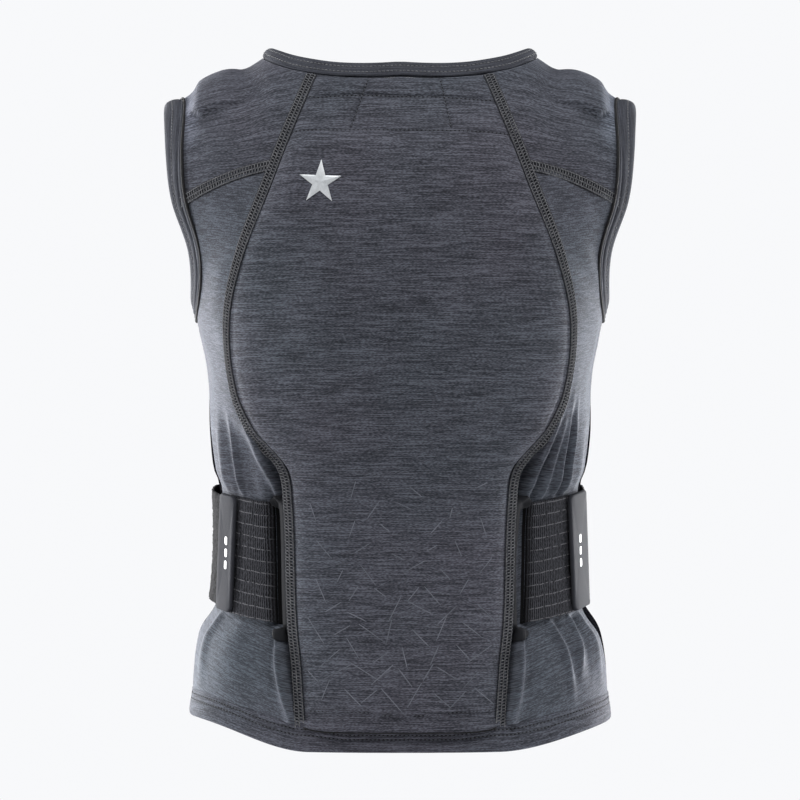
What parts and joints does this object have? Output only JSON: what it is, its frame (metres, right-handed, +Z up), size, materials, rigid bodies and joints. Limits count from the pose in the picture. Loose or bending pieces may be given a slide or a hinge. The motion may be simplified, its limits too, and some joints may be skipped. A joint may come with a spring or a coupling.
{
  "type": "protective vest",
  "caption": "Child's sleeveless back-protector vest with a padded back panel, shoulder pads, bound neck and armholes, and an elastic waist belt with rubber tabs.",
  "frame": {"origin": "shoulder seat: midway between the two shoulder ridges, level with the seat of the shoulders", "axes": "+Z up, +Y towards the wearer's front, +X towards the wearer's right-hand side as seen from behind"},
  "size_m": [0.299, 0.1893, 0.4326],
  "materials": {
    "back_jersey": "dark grey heather stretch jersey",
    "side_jersey": "grey heather stretch jersey with a slight sheen",
    "front_jersey": "dark grey stretch jersey",
    "binding_tape": "folded elastic tape",
    "ribbed_elastic": "ribbed woven elastic",
    "loop_band": "looped elastic band",
    "tab_rubber": "smooth moulded rubber",
    "slot_film": "bonded film",
    "reflective_film": "pale reflective transfer film",
    "zip_tape": "coil zip and tape"
  },
  "bodies": {
    "root": {"back_panel": "back_jersey", "star_print": "reflective_film", "neck_binding": "binding_tape", "hem_band": "side_jersey", "front_zip": "zip_tape", "belt_front": "loop_band", "yoke_left": "back_jersey", "side_panel_left": "side_jersey", "front_panel_left": "front_jersey", "armhole_binding_left": "binding_tape", "belt_strap_left": "ribbed_elastic", "belt_tab_left": "tab_rubber", "slot_patch_left": "slot_film", "yoke_right": "back_jersey", "side_panel_right": "side_jersey", "front_panel_right": "front_jersey", "armhole_binding_right": "binding_tape", "belt_strap_right": "ribbed_elastic", "belt_tab_right": "tab_rubber", "slot_patch_right": "slot_film"}
  },
  "joints": []
}
